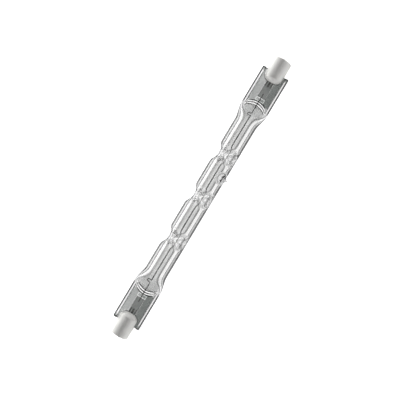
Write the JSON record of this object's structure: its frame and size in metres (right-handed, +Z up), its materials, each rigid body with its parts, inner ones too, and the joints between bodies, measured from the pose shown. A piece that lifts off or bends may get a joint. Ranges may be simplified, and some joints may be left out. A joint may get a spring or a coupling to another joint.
{
  "type": "double-ended linear halogen bulb",
  "caption": "Slim clear quartz tube with crimped necks, flat pressed seals and a round white ceramic cap with a recessed contact at each end.",
  "frame": {"origin": "in the middle of the lamp, on the axis of the tube, which is one tube radius above the table", "axes": "+X along the lamp towards the right-hand contact, +Z up, with the lamp rolled to how it lies, on its tube and with the lower rails of its seals just clear of the table"},
  "size_m": [0.1176, 0.0127, 0.0086],
  "materials": {
    "quartz": "clear fused quartz",
    "ceramic": "matt white, unglazed",
    "cement": "matt, grainy",
    "molybdenum": "thin rolled foil, dull grey",
    "lead_wire": "drawn wire, dull grey",
    "tungsten": "dark grey coiled wire",
    "nickel": "satin nickel"
  },
  "bodies": {
    "root": {"quartz_envelope": "quartz", "filament": "tungsten", "inner_lead_left": "lead_wire", "inner_lead_right": "lead_wire", "foil_left": "molybdenum", "foil_right": "molybdenum", "outer_lead_left": "lead_wire", "outer_lead_right": "lead_wire", "ceramic_left": "ceramic", "ceramic_right": "ceramic", "cement_left": "cement", "cement_right": "cement", "contact_left": "nickel", "contact_right": "nickel"}
  },
  "joints": []
}
